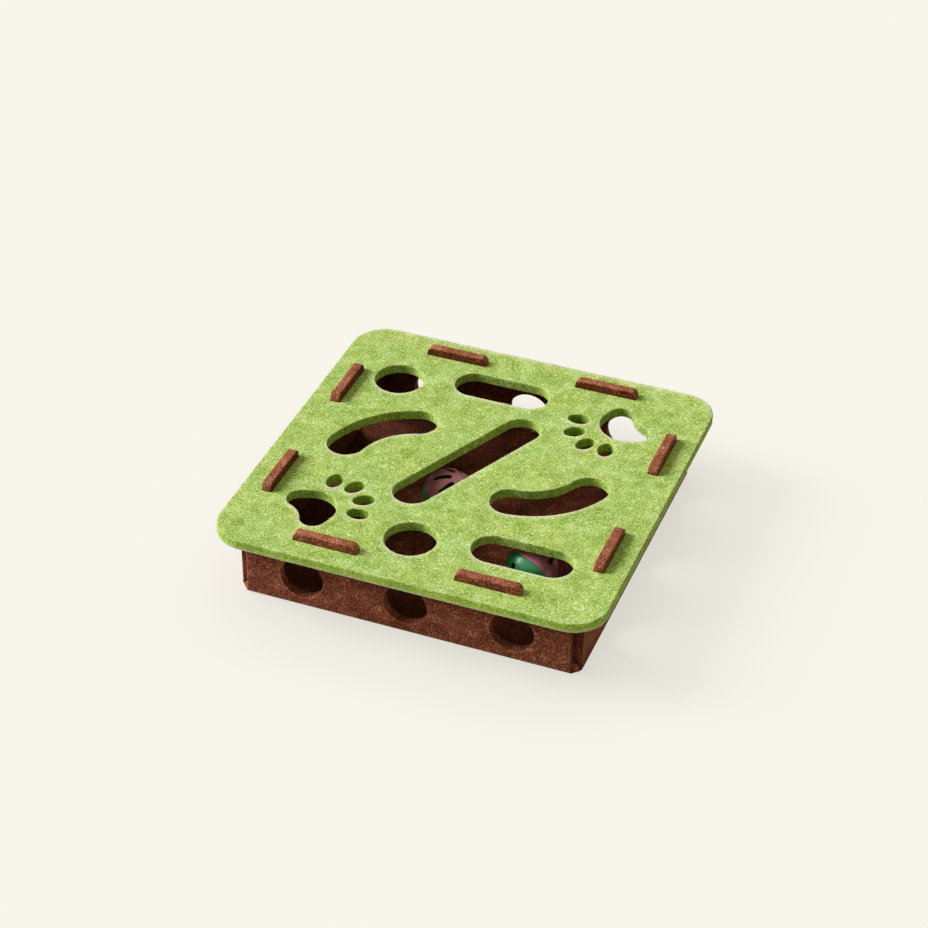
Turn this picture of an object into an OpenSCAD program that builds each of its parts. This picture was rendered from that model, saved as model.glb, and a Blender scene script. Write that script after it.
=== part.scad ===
// Felt maze box for a cat: a slotted lid on a folded felt tray, with two bell balls inside.
// Millimetres, +Z up. The origin is the middle of the underside.

/* [Lid] */
// Side length of the square lid
lid_w = 300; // [285:1:360]
// Corner radius of the lid
lid_r = 27; // [10:1:40]
// Thickness of the lid felt
lid_t = 8; // [5:0.5:12]
// How far the lid stands out past the outer faces of the walls
overhang = 16.7; // [10:0.1:22]

/* [Tray] */
// Thickness of the tray felt
tray_t = 7.5; // [5:0.5:10]
// Gap between the ends of neighbouring walls
corner_gap = 0.3; // [0.1:0.1:4]
// Free height between the top of a ball and the lid
head_room = 4.2; // [1:0.1:20]

/* [Tabs] */
// Length of a tab
tab_l = 50; // [30:1:60]
// Height of a tab above the lid
tab_rise = 6; // [2:0.5:14]
// Radius of the upper corners of a tab
tab_r = 4.5; // [1:0.5:6]
// Distance of a tab from the middle of its wall
tab_at = 62.5; // [45:0.5:75]
// Clearance between a tab and its slot
tab_clear = 0.3; // [0.1:0.05:1]

/* [Wall holes] */
// Diameter of a wall hole
wall_hole_d = 34; // [20:0.5:40]
// Distance between the holes of one wall
wall_hole_pitch = 81.5; // [60:0.5:88]
// Height of the lowest point of a wall hole above the floor panel
wall_hole_sill = 0.5; // [0.2:0.1:6]

/* [Lid cut-outs] */
// Diameter of the round holes
round_hole_d = 39; // [20:0.5:42]
// Place of the back round hole
round_hole_back = [-94.5, 85]; // [-105:0.5:105]
// Place of the front round hole
round_hole_front = [-8.5, -101]; // [-105:0.5:105]
// Length of the straight slots
slot_l = 77; // [50:1:84]
// Width of the straight slots
slot_w = 31; // [15:0.5:36]
// Place of the back straight slot
slot_back = [-13.5, 99.5]; // [-105:0.5:105]
// Place of the front straight slot
slot_front = [73.5, -90.5]; // [-105:0.5:105]
// Length of the slanting slot
slant_l = 143; // [90:1:160]
// Width of the slanting slot
slant_w = 30; // [15:0.5:36]
// Angle of the slanting slot from the X axis
slant_angle = 65; // [55:0.5:75]
// Place of the slanting slot
slant_at = [-5, 3.5]; // [-20:0.5:20]
// Width of the curved slots
curve_w = 30; // [15:0.5:34]
// Radius of the middle line of the curved slots
curve_r = 60; // [45:1:90]
// Turn of a curved slot, between the middles of its round ends
curve_sweep = 61; // [40:1:66]
// Place of the middle of the left curved slot
curve_left = [-84.5, 18.5]; // [-95:0.5:95]
// Direction in which the left curved slot bulges
curve_left_angle = 138; // [120:1:150]
// Place of the middle of the right curved slot
curve_right = [72, -22]; // [-95:0.5:95]
// Direction in which the right curved slot bulges
curve_right_angle = -54.5; // [-70:0.5:-40]

/* [Paw prints] */
// Place of the front paw print
paw_front = [-87.5, -89]; // [-92:0.5:92]
// Direction in which the front paw print points
paw_front_angle = 46; // [30:1:60]
// Place of the back paw print
paw_back = [87, 86.5]; // [-92:0.5:92]
// Direction in which the back paw print points
paw_back_angle = 226; // [210:1:240]
// Radius of the round front of a pad
pad_front_r = 21.2; // [20:0.1:21.6]
// Distance of the middle of that round front behind the middle of the paw
pad_front_back = 7.4; // [6:0.1:8]
// Radius of the two heel lobes of a pad
pad_heel_r = 9.8; // [9.4:0.1:10.6]
// Distance of a heel lobe from the axis of the paw
pad_heel_out = 13; // [12.6:0.1:14]
// Distance of the heel lobes behind the middle of the paw
pad_heel_back = 8.7; // [8.2:0.1:10]
// Distance of the hollow between the heels behind the middle of the paw
pad_hollow_back = 15.8; // [15:0.1:17]
// Length of a toe
toe_l = 17; // [12:0.5:19]
// Width of a toe
toe_w = 12; // [8:0.5:13]
// Radius of the round ends of a toe
toe_end_r = 4.6; // [2.5:0.1:5]
// Distance of the two middle toes from the middle of the paw
toe_middle_at = 34.5; // [32:0.5:40]
// Distance of the two outer toes from the middle of the paw
toe_outer_at = 32; // [30:0.5:38]
// Angle between neighbouring toes
toe_step = 29.5; // [27:0.5:34]

/* [Balls] */
// Diameter of a ball
ball_d = 40; // [36:0.5:46]
// Wall of a ball
ball_wall = 1.6; // [1.2:0.1:3]
// Clearance under a ball
ball_gap = 0.3; // [0.1:0.05:1]
// Number of slots in each half of a ball
petal_n = 8; // [4:1:9]
// Length of a slot in a ball
petal_l = 15; // [8:0.5:17]
// Width of a slot in a ball
petal_w = 4; // [2:0.1:4.5]
// Angle of the middle of a slot from the pole of its half
petal_tilt = 45; // [40:1:52]
// Height of the lap joint between the halves
lap_h = 2; // [1:0.1:3]
// Clearance in the lap joint
lap_gap = 0.1; // [0.05:0.05:0.2]
// Place of the first ball
ball_1_at = [-18.5, -1.5]; // [-100:0.5:100]
// Lean of the first ball, from its pink pole straight up
ball_1_tilt = 32; // [0:1:180]
// Heading of the pink pole of the first ball
ball_1_turn = 0; // [-180:1:180]
// Turn of the first ball about its own pole
ball_1_spin = 21; // [-180:1:180]
// Place of the second ball
ball_2_at = [71.5, -63.5]; // [-100:0.5:100]
// Lean of the second ball
ball_2_tilt = 61; // [0:1:180]
// Heading of the pink pole of the second ball
ball_2_turn = 65; // [-180:1:180]
// Turn of the second ball about its own pole
ball_2_spin = 12; // [-180:1:180]

/* [Bells] */
// Diameter of a bell
bell_d = 14; // [10:0.5:18]
// Wall of a bell
bell_wall = 0.7; // [0.5:0.1:1]
// Clearance between a bell and the ball it lies in
bell_gap = 0.3; // [0.1:0.05:0.6]
// Width of the crimped rim round a bell
rim_w = 0.9; // [0.5:0.1:1.5]
// Thickness of the rim of each half of a bell
rim_t = 0.6; // [0.4:0.1:0.9]
// Diameter of the loop on a bell, at the middle of its wire
loop_d = 4.4; // [3:0.1:6]
// Diameter of the wire of the loop
loop_wire = 1.2; // [0.8:0.1:1.6]
// Length of each sound slot in the bowl of a bell
sound_l = 9; // [6:0.5:9.5]
// Width of each sound slot
sound_w = 1.5; // [0.8:0.1:2]
// Diameter of the pellet in a bell
pellet_d = 4; // [3:0.1:5]
// Clearance between a pellet and the bell it lies in
pellet_gap = 0.2; // [0.1:0.05:0.4]

/* [Hidden] */
$fn = 96;
// Amount by which a cutter runs past the face it cuts
over = 1;
// Amount by which the sides of the paw pad reach into the lobes they join
tuck = 0.05;
// Outer and inner faces of the walls, measured from the middle
wall_out = lid_w / 2 - overhang;
wall_in = wall_out - tray_t;
wall_half = wall_in - corner_gap;
// Heights of the lid and of the ball centres
ball_r = ball_d / 2;
ball_z = tray_t + ball_gap + ball_r;
wall_h = ball_z + ball_r + head_room;
lid_top = wall_h + lid_t;
tab_top = lid_top + tab_rise;
wall_hole_z = tray_t + wall_hole_sill + wall_hole_d / 2;
tab_y = wall_in + tray_t / 2;
// Inside of a ball, and the middle of its wall where the halves lap
ball_in_r = ball_r - ball_wall;
lap_r = ball_r - ball_wall / 2;
// Bell and pellet, measured down from the centre of what holds them
bell_r = bell_d / 2;
bell_in_r = bell_r - bell_wall;
bell_drop = ball_in_r - bell_gap - bell_r;
pellet_r = pellet_d / 2;
pellet_drop = bell_in_r - pellet_gap - pellet_r;
rim_r = bell_r + rim_w;
loop_z = sqrt(bell_r * bell_r - loop_wire * loop_wire / 4) + loop_d / 2 - loop_wire / 4;
// Colours as seen
felt_green = "yellowgreen";
felt_brown = "saddlebrown";
ball_pink = "palevioletred";
ball_green = "mediumseagreen";
bell_metal = "silver";

// Point at a distance and an angle from the middle
function polar(r, a) = [r * cos(a), r * sin(a)];

// Slot outline along X with round ends
module stadium(l, w) {
    square([l - w, w], center = true);
    for (side = [-1, 1])
        translate([side * (l - w) / 2, 0]) circle(d = w);
}

// Square outline with round corners
module rounded_square(w, r) {
    square([w, w - 2 * r], center = true);
    square([w - 2 * r, w], center = true);
    for (sx = [-1, 1], sy = [-1, 1])
        translate([sx * (w / 2 - r), sy * (w / 2 - r)]) circle(r = r);
}

// Slot outline that follows an arc, with its middle at the origin and its bulge along +X
module curved_slot(r, w, sweep) {
    translate([-r, 0]) {
        intersection() {
            difference() {
                circle(r = r + w / 2);
                circle(r = r - w / 2);
            }
            polygon([[0, 0], polar(2 * r + w, -sweep / 2), polar(2 * r + w, sweep / 2)]);
        }
        for (side = [-1, 1])
            translate(polar(r, side * sweep / 2)) circle(d = w);
    }
}

// Oval along X of two end arcs and two side arcs that meet them smoothly
module oval(l, w, end_r) {
    c = l / 2 - end_r;
    spare = w / 2 - end_r;
    d = (c * c - spare * spare) / (2 * spare);
    meet = c + end_r * c / norm([c, d]);
    for (side = [-1, 1])
        translate([side * c, 0]) circle(r = end_r);
    intersection() {
        translate([0, d]) circle(r = w / 2 + d);
        translate([0, -d]) circle(r = w / 2 + d);
        square([2 * meet, w], center = true);
    }
}

// Pad of a paw print that points along +X: a round front, two heel lobes and a hollow between the heels
module pad() {
    front = [-pad_front_back, 0];
    heel = [-pad_heel_back, pad_heel_out];
    span = front - heel;
    side_angle = atan2(span.y, span.x) + acos((pad_heel_r - pad_front_r) / norm(span));
    reach = pad_hollow_back - pad_heel_back;
    hollow_r = (pow(pad_heel_out, 2) + reach * reach - pad_heel_r * pad_heel_r) / (2 * (pad_heel_r - reach));
    hollow_x = -pad_hollow_back - hollow_r;
    meet = heel + pad_heel_r / (pad_heel_r + hollow_r) * ([hollow_x, 0] - heel);
    intersection() {
        translate(front) circle(r = pad_front_r);
        translate([heel.x, -pad_front_r]) square(2 * pad_front_r);
    }
    difference() {
        polygon([meet, heel, front, [heel.x, -heel.y], [meet.x, -meet.y]]);
        translate([hollow_x, 0]) circle(r = hollow_r + tuck);
    }
    for (side = [0, 1])
        mirror([0, side]) {
            translate(heel) circle(r = pad_heel_r);
            polygon([
                heel,
                heel + polar(pad_heel_r - tuck, side_angle),
                front + polar(pad_front_r - tuck, side_angle),
                front
            ]);
        }
}

// Paw print that points along +X
module paw() {
    pad();
    for (k = [-1.5 : 1 : 1.5])
        rotate(k * toe_step)
            translate([abs(k) > 1 ? toe_outer_at : toe_middle_at, 0]) oval(toe_l, toe_w, toe_end_r);
}

// All cut-outs of the lid that are open to the inside of the box
module play_cutouts() {
    translate(round_hole_back) circle(d = round_hole_d);
    translate(round_hole_front) circle(d = round_hole_d);
    translate(slot_back) stadium(slot_l, slot_w);
    translate(slot_front) stadium(slot_l, slot_w);
    translate(slant_at) rotate(slant_angle) stadium(slant_l, slant_w);
    translate(curve_left) rotate(curve_left_angle) curved_slot(curve_r, curve_w, curve_sweep);
    translate(curve_right) rotate(curve_right_angle) curved_slot(curve_r, curve_w, curve_sweep);
    translate(paw_front) rotate(paw_front_angle) paw();
    translate(paw_back) rotate(paw_back_angle) paw();
}

// Two slots on each side that the tabs come up through
module tab_slots() {
    for (quarter = [0 : 3], side = [-1, 1])
        rotate(quarter * 90)
            translate([side * tab_at, -tab_y])
                square([tab_l + 2 * tab_clear, tray_t + 2 * tab_clear], center = true);
}

// Tab outline that stands on the X axis, with round upper corners
module tab(h) {
    translate([-tab_l / 2, 0]) square([tab_l, h - tab_r]);
    translate([tab_r - tab_l / 2, 0]) square([tab_l - 2 * tab_r, h]);
    for (side = [-1, 1])
        translate([side * (tab_l / 2 - tab_r), h - tab_r]) circle(r = tab_r);
}

// Wall outline with its tabs and holes
module wall_face() {
    difference() {
        union() {
            translate([-wall_half, 0]) square([2 * wall_half, wall_h]);
            for (side = [-1, 1])
                translate([side * tab_at, 0]) tab(tab_top);
        }
        for (k = [-1 : 1])
            translate([k * wall_hole_pitch, wall_hole_z]) circle(d = wall_hole_d);
    }
}

// Bar along the front crease with the given section, whose points are [distance past the outer face, height]
module crease_bar(section) {
    rotate([90, 0, 90])
        translate([-wall_out, 0, -wall_out - over])
            linear_extrude(2 * (wall_out + over)) polygon(section);
}

// Wall panel in the front place, cut to half the fold along its foot
module wall_panel() {
    color(felt_brown)
        difference() {
            translate([0, -wall_in, 0]) rotate([90, 0, 0]) linear_extrude(tray_t) wall_face();
            crease_bar([[-over, -over], [tray_t + over, -over], [tray_t + over, tray_t + over]]);
        }
}

module front_wall() {
    wall_panel();
}

module right_wall() {
    rotate(90) wall_panel();
}

module back_wall() {
    rotate(180) wall_panel();
}

module left_wall() {
    rotate(270) wall_panel();
}

// Floor panel, cut to the other half of the fold along its four sides
module base_panel() {
    color(felt_brown)
        difference() {
            linear_extrude(tray_t)
                polygon([
                    for (quarter = [0 : 3], corner = [[-wall_half, -wall_out], [wall_half, -wall_out]])
                        [
                            corner.x * cos(quarter * 90) - corner.y * sin(quarter * 90),
                            corner.x * sin(quarter * 90) + corner.y * cos(quarter * 90)
                        ]
                ]);
            for (quarter = [0 : 3])
                rotate(quarter * 90)
                    crease_bar([[-over, -over], [tray_t + over, tray_t + over], [-over, tray_t + over]]);
        }
}

module lid_panel() {
    color(felt_green)
        translate([0, 0, wall_h])
            linear_extrude(lid_t)
                difference() {
                    rounded_square(lid_w, lid_r);
                    play_cutouts();
                    tab_slots();
                }
}

// Upper half of space, reaching well past a ball
module upper_space(from) {
    translate([-ball_d, -ball_d, from]) cube(2 * ball_d);
}

// Slots through the wall of the upper half of a ball
module petal_cuts() {
    for (k = [0 : petal_n - 1])
        rotate([0, petal_tilt, k * 360 / petal_n])
            translate([0, 0, ball_in_r / 2]) linear_extrude(ball_r) stadium(petal_l, petal_w);
}

// Upper half shell of a ball with its slots
module half_shell() {
    difference() {
        intersection() {
            sphere(d = ball_d);
            upper_space(0);
        }
        sphere(r = ball_in_r);
        petal_cuts();
    }
}

// Half of a ball whose edge is stepped on the inside
module pink_half() {
    color(ball_pink)
        difference() {
            half_shell();
            difference() {
                sphere(r = lap_r);
                upper_space(lap_h + lap_gap);
            }
        }
}

// Half of a ball, below, with a tongue that fits into the step of the other half
module green_half() {
    color(ball_green) {
        rotate([180, 0, 180 / petal_n]) half_shell();
        difference() {
            sphere(r = lap_r - lap_gap);
            sphere(r = ball_in_r);
            upper_space(lap_h);
            rotate([180, 0, 0]) upper_space(0);
        }
    }
}

// Upper half of a bell with its rim and its loop
module bell_cap() {
    color(bell_metal) {
        difference() {
            union() {
                intersection() {
                    sphere(r = bell_r);
                    upper_space(0);
                }
                cylinder(r = rim_r, h = rim_t);
            }
            sphere(r = bell_in_r);
        }
        translate([0, 0, loop_z])
            rotate([90, 0, 0])
                rotate_extrude() translate([loop_d / 2, 0]) circle(d = loop_wire, $fn = 32);
    }
}

// Lower half of a bell with its rim and its crossed sound slots
module bell_bowl() {
    color(bell_metal)
        difference() {
            rotate([180, 0, 0])
                union() {
                    intersection() {
                        sphere(r = bell_r);
                        upper_space(0);
                    }
                    cylinder(r = rim_r, h = rim_t);
                }
            sphere(r = bell_in_r);
            for (turn = [0, 90])
                rotate([180, 0, turn]) linear_extrude(bell_d) stadium(sound_l, sound_w);
        }
}

module pellet() {
    color(bell_metal) translate([0, 0, -pellet_drop]) sphere(d = pellet_d);
}

// Place of what belongs to the shell of a ball
module in_ball(at, tilt, turn, spin) {
    translate([at.x, at.y, ball_z]) rotate([0, tilt, turn]) rotate(spin) children();
}

// Place of what belongs to the bell in a ball
module in_bell(at) {
    translate([at.x, at.y, ball_z - bell_drop]) children();
}

module ball_1_pink_half() {
    in_ball(ball_1_at, ball_1_tilt, ball_1_turn, ball_1_spin) pink_half();
}

module ball_1_green_half() {
    in_ball(ball_1_at, ball_1_tilt, ball_1_turn, ball_1_spin) green_half();
}

module ball_1_bell_cap() {
    in_bell(ball_1_at) bell_cap();
}

module ball_1_bell_bowl() {
    in_bell(ball_1_at) bell_bowl();
}

module ball_1_pellet() {
    in_bell(ball_1_at) pellet();
}

module ball_2_pink_half() {
    in_ball(ball_2_at, ball_2_tilt, ball_2_turn, ball_2_spin) pink_half();
}

module ball_2_green_half() {
    in_ball(ball_2_at, ball_2_tilt, ball_2_turn, ball_2_spin) green_half();
}

module ball_2_bell_cap() {
    in_bell(ball_2_at) bell_cap();
}

module ball_2_bell_bowl() {
    in_bell(ball_2_at) bell_bowl();
}

module ball_2_pellet() {
    in_bell(ball_2_at) pellet();
}

base_panel();
front_wall();
back_wall();
left_wall();
right_wall();
lid_panel();
ball_1_pink_half();
ball_1_green_half();
ball_1_bell_cap();
ball_1_bell_bowl();
ball_1_pellet();
ball_2_pink_half();
ball_2_green_half();
ball_2_bell_cap();
ball_2_bell_bowl();
ball_2_pellet();
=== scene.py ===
# %% [markdown]
# # A felt maze box for a cat
# The box is a tray folded from one sheet of thick brown felt, closed by a green felt lid with holes and
# slots to fish through. Two bell balls roll about inside. This lesson dresses the measured CAD frame: it
# rebuilds each felt board with soft cut edges, grows loose fibres on it, and moulds the balls.

# %% Load the frame
import math

import bmesh
import bpy
import numpy as np
from mathutils import Matrix, Vector, kdtree, noise
from mathutils.geometry import delaunay_2d_cdt


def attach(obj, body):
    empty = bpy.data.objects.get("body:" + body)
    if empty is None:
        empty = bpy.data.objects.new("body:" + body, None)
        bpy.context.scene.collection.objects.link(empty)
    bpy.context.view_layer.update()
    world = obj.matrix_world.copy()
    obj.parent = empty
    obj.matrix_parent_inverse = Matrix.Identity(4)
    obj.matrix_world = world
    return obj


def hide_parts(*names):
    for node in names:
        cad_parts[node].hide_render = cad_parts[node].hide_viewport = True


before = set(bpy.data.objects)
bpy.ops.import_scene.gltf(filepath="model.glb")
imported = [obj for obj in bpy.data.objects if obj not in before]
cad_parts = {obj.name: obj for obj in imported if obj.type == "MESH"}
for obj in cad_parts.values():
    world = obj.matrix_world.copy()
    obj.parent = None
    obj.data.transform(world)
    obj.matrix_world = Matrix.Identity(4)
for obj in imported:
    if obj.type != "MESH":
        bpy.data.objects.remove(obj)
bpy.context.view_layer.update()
scene = bpy.context.scene
scene.view_settings.view_transform = "Standard"
MM = 0.001

# %% [markdown]
# ## Helpers
# Blender keeps an object apart from its data, such as a mesh or a lamp, and shows it once it is linked to the
# scene. Materials, the sky and Geometry Nodes are all trees of nodes, and each input of a node holds a
# constant or a link. These helpers put such steps into one call.

# %% Helpers


def show(name, data):
    """Shows a mesh, a lamp or a camera as an object."""
    shown = bpy.data.objects.new(name, data)
    scene.collection.objects.link(shown)
    return shown


def new_mesh(name, points, faces):
    """A mesh from points in millimetres."""
    mesh = bpy.data.meshes.new(name)
    mesh.from_pydata([(x * MM, y * MM, z * MM) for x, y, z in points], [], faces)
    return mesh


def set_inputs(node, inputs):
    """Stores a constant in each input, or links a socket to it."""
    for key, value in inputs.items():
        if isinstance(value, bpy.types.NodeSocket):
            node.id_data.links.new(value, node.inputs[key])
        else:
            node.inputs[key].default_value = value


def add_node(tree, kind, inputs, out=0, **settings):
    """Adds a node to a tree and returns one of its outputs."""
    node = tree.nodes.new(kind)
    for key, value in settings.items():
        setattr(node, key, value)
    set_inputs(node, inputs)
    return node.outputs[out]


print("the frame has", len(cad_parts), "nodes to dress")

# %% [markdown]
# ## Camera
# The camera looks down on the lid from the front right. Its place was found by fitting the corners of the
# square lid, so it is written as a direction, a distance and a focal length in pixels of a square picture.

# %% Camera
LID_TOP = 60.0
VIEW_AZIMUTH, VIEW_ELEVATION, VIEW_ROLL = 21.140, 36.245, 0.365
AIM_RIGHT, AIM_UP, VIEW_DISTANCE = 6.32, -0.12, 1819.8
PICTURE_PX, FOCAL_PX, SENSOR_WIDTH, FAR_LIMIT = 928, 2423.4, 36.0, 50.0


def turns(*steps):
    """A rotation made of turns, each an angle in degrees and an axis."""
    whole = Matrix.Identity(4)
    for angle, axis in steps:
        whole = whole @ Matrix.Rotation(math.radians(angle), 4, axis)
    return whole


camera = show("camera", bpy.data.cameras.new("camera"))
camera.data.sensor_width = SENSOR_WIDTH
camera.data.lens = FOCAL_PX / PICTURE_PX * SENSOR_WIDTH
camera.data.clip_end = FAR_LIMIT
view = turns((VIEW_AZIMUTH, "Z"), (90 - VIEW_ELEVATION, "X"), (VIEW_ROLL, "Z"))
eye = Vector((0, 0, LID_TOP)) + view @ Vector((-AIM_RIGHT, -AIM_UP, VIEW_DISTANCE))
camera.matrix_world = Matrix.Translation(eye * MM) @ view
scene.camera = camera
print("camera at", tuple(round(c, 3) for c in camera.location), "lens", round(camera.data.lens, 1), "mm")

# %% [markdown]
# ## Floor
# The box stands on a pale, warm floor without an edge. A plain floor of that colour would throw too much
# light back under the box, so the paint has two faces: light bounces off a duller one, and the camera sees
# one that glows a little. Round the box the glow is shaded softly where the box hides the sky.

# %% Floor
FLOOR_COLOUR = (0.939, 0.913, 0.839, 1)
FLOOR_HALF, FLOOR_DROP = 9000.0, 0.3
FLOOR_BOUNCE = {"Base Color": (0.56, 0.545, 0.50, 1), "Roughness": 1.0, "Specular IOR Level": 0.0}
FLOOR_GLOW, HALO_WIDTH, HALO_DEPTH, HALO_LEAN = 0.86, 0.09, 0.23, (-0.42, 0.36, 0.83)
# A mix node has sockets of one name for numbers and for colours: these are the colours' places.
MIX_A, MIX_B, MIX_OUT = 6, 7, 2


def add_math(tree, operation, a, b):
    """One operation on two sockets or numbers."""
    return add_node(tree, "ShaderNodeMath", {0: a, 1: b}, operation=operation)


def add_mix(tree, blend, factor, a, b):
    """A mix of two colours."""
    inputs = {0: factor, MIX_A: a, MIX_B: b}
    return add_node(tree, "ShaderNodeMix", inputs, MIX_OUT, data_type="RGBA", blend_type=blend)


def seen_or_lit(tree, lit, seen):
    """One shader for light, and another for what the camera, mirrors and glass see."""
    rays = add_node(tree, "ShaderNodeLightPath", {}).node.outputs
    direct = add_math(tree, "MAXIMUM", rays["Is Camera Ray"], rays["Is Glossy Ray"])
    direct = add_math(tree, "MAXIMUM", direct, rays["Is Transmission Ray"])
    return add_node(tree, "ShaderNodeMixShader", {0: direct, 1: lit, 2: seen})


def new_material(name):
    """A material, its node tree and its shader."""
    made = bpy.data.materials.new(name)
    made.use_nodes = True
    return made, made.node_tree, made.node_tree.nodes["Principled BSDF"]


paint, tree, bounced = new_material("floor_paint")
set_inputs(bounced, FLOOR_BOUNCE)
lean = add_node(tree, "ShaderNodeCombineXYZ", dict(zip("XYZ", HALO_LEAN)))
inputs = {"Color": FLOOR_COLOUR, "Distance": HALO_WIDTH, "Normal": lean}
hidden = add_node(tree, "ShaderNodeAmbientOcclusion", inputs)
halo = add_mix(tree, "MIX", HALO_DEPTH, FLOOR_COLOUR, hidden)
lit = add_node(tree, "ShaderNodeBsdfDiffuse", {"Color": FLOOR_COLOUR})
glow = add_node(tree, "ShaderNodeEmission", {"Color": halo})
seen = add_node(tree, "ShaderNodeMixShader", {0: FLOOR_GLOW, 1: lit, 2: glow})
set_inputs(tree.nodes["Material Output"], {"Surface": seen_or_lit(tree, bounced.outputs[0], seen)})
corners = [(x * FLOOR_HALF, y * FLOOR_HALF, -FLOOR_DROP) for x, y in ((-1, -1), (1, -1), (1, 1), (-1, 1))]
floor = show("floor", new_mesh("floor", corners, [(0, 1, 2, 3)]))
floor.data.materials.append(paint)
print("floor", 2 * FLOOR_HALF * MM, "m wide")

# %% [markdown]
# ## Light
# A large, cool window stands low on the left. It gives the tabs their short shadows and lights the right-hand
# sides of the cut-outs, while the far sides stay dark. A broad panel overhead and an even, warm sky fill in
# the rest. The camera sees the sky in the floor's own colour, so no horizon shows in a low view.

# %% Light
SKY_LIGHT, SKY_COLOUR = 0.22, (1.0, 0.97, 0.48, 1)


def soft_sun(name, toward, strength, spread, colour):
    """A sun that shines along a direction, with a spread in degrees."""
    lamp = bpy.data.lights.new(name, "SUN")
    lamp.energy, lamp.color, lamp.angle = strength, colour, math.radians(spread)
    show(name, lamp).rotation_euler = Vector(toward).to_track_quat("-Z", "Y").to_euler()


soft_sun("window", toward=(0.85, 0.115, -0.515), strength=4.25, spread=30, colour=(1.0, 1.0, 1.12))
soft_sun("panel", toward=(0.0, -0.2, -0.98), strength=0.30, spread=100, colour=(1.0, 1.0, 1.0))
scene.world = bpy.data.worlds.new("studio")
scene.world.use_nodes = True
tree = scene.world.node_tree
tree.nodes.clear()
lit = add_node(tree, "ShaderNodeBackground", {"Color": SKY_COLOUR, "Strength": SKY_LIGHT})
seen = add_node(tree, "ShaderNodeBackground", {"Color": FLOOR_COLOUR})
set_inputs(tree.nodes.new("ShaderNodeOutputWorld"), {"Surface": seen_or_lit(tree, lit, seen)})
print("lights:", ", ".join(lamp.name for lamp in bpy.data.lights), "and a sky at", SKY_LIGHT)

# %% [markdown]
# ## Felt
# Needled felt is a mat of short dyed fibres of slightly different shades. Three noise textures give its
# grain, its thread-like streaks and its soft clouds, and their sum drives both the colour and the bump, so a
# light fibre also stands up. Cut edges show the fibres end on and look deeper in colour. Faces inside the box
# and a few places where shade falls get painted shade: the mesh marks them with an attribute named inner, and
# in places with the one named cut. Frayed rims and painted highlights are paler, and have a mark of their
# own.

# %% Felt
GRAIN = {"Scale": 820.0, "Detail": 3.0, "Roughness": 0.62, "Distortion": 0.7}
THREADS = {"Scale": 330.0, "Detail": 2.0, "Roughness": 0.6, "Lacunarity": 2.3, "Distortion": 1.2}
CLOUDS = {"Scale": 95.0, "Detail": 2.0, "Roughness": 0.5}
DYE = {"Scale": 42.0, "Detail": 3.0, "Roughness": 0.6}
GRAIN_SHARE, THREAD_SHARE, CLOUD_SHARE = 0.60, 0.22, 0.18
SHADE_STOPS, FRAY_FLOOR = (0.325, 0.395, 0.46, 0.56), 0.25
FELT_SHINE = {"Specular IOR Level": 0.15, "Sheen Weight": 0.10, "Sheen Roughness": 0.5}


def add_noise(tree, inputs, **settings):
    """A noise texture. Its scale counts features per metre."""
    place = add_node(tree, "ShaderNodeTexCoord", {}, "Object")
    return add_node(tree, "ShaderNodeTexNoise", {"Vector": place, **inputs}, **settings)


def add_mark(tree, name):
    """What a mesh marks its points with under a name."""
    return add_node(tree, "ShaderNodeAttribute", {}, "Fac", attribute_name=name)


def roughen(shader, texture, low, high, height, strength, distance):
    """Lets a texture set the roughness between two limits, and a height make the bump."""
    tree = shader.id_data
    rough = add_node(tree, "ShaderNodeMapRange", {"Value": texture, "To Min": low, "To Max": high})
    bump = add_node(tree, "ShaderNodeBump", {"Height": height, "Strength": strength, "Distance": distance})
    set_inputs(shader, {"Roughness": rough, "Normal": bump})


def felt_material(name, shades, dyes, cut_and_shade_tint, painted_shade_tint, fray_and_highlight_colour, sheen):
    """Felt in four shades, deeper where cut or where shade is painted, paler at fray and painted highlights.
    """
    made, tree, shader = new_material(name)
    grain = add_noise(tree, GRAIN)
    threads = add_noise(tree, THREADS, noise_type="RIDGED_MULTIFRACTAL")
    height = add_math(tree, "MULTIPLY", grain, GRAIN_SHARE)
    for texture, share in ((threads, THREAD_SHARE), (add_noise(tree, CLOUDS), CLOUD_SHARE)):
        height = add_math(tree, "ADD", height, add_math(tree, "MULTIPLY", texture, share))
    ramp = add_node(tree, "ShaderNodeValToRGB", {"Fac": height})
    stops = ramp.node.color_ramp.elements
    stops[0].position, stops[1].position = SHADE_STOPS[0], SHADE_STOPS[-1]
    for position in SHADE_STOPS[1:-1]:
        stops.new(position)
    for stop, shade in zip(stops, shades):
        stop.color = shade
    colour = add_mix(tree, "MULTIPLY", 1.0, ramp, add_mix(tree, "MIX", add_noise(tree, DYE), *dyes))
    # cut deepens cut edges and also carries painted shade in places; inner carries painted shade only.
    for mark, tint in (("cut", cut_and_shade_tint), ("inner", painted_shade_tint)):
        colour = add_mix(tree, "MULTIPLY", add_mark(tree, mark), colour, tint)
    # The third mark pales frayed rims, and it also paints highlights on some rims and on the tops of the
    # tabs.
    pale_edge = add_math(tree, "MULTIPLY", add_mark(tree, "fray_and_highlight"), add_math(tree, "ADD", grain, FRAY_FLOOR))
    colour = add_mix(tree, "SCREEN", pale_edge, colour, fray_and_highlight_colour)
    set_inputs(shader, {"Base Color": colour, "Sheen Tint": sheen, **FELT_SHINE})
    roughen(shader, grain, low=0.85, high=1.0, height=height, strength=0.6, distance=0.8 * MM)
    return made


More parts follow.
